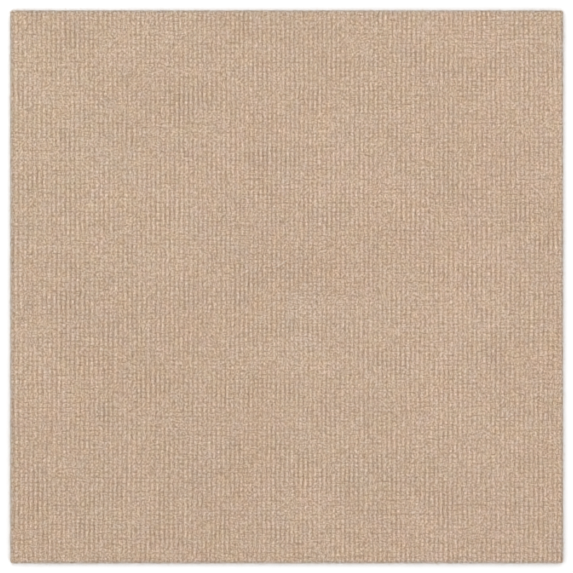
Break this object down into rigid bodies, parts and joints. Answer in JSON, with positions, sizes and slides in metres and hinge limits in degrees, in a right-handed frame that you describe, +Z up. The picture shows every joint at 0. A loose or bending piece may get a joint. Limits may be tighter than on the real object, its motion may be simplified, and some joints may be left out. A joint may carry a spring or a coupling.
{
  "type": "carpet tile",
  "caption": "Square needle-punched felt carpet tile with a beige face of small nubs in close columns, flat underneath, laid edge to edge on a floor.",
  "frame": {"origin": "middle of the flat underside, on the floor", "axes": "+Z up out of the nubbed face; +Y along the columns of nubs, which run up and down the picture; +X across the columns"},
  "size_m": [0.4572, 0.4572, 0.0055],
  "materials": {
    "felt": "matt heathered beige needle-punched fibre, nubbed on the face, resin-bonded and smooth underneath"
  },
  "bodies": {
    "root": {"carpet_tile": "felt"}
  },
  "joints": []
}
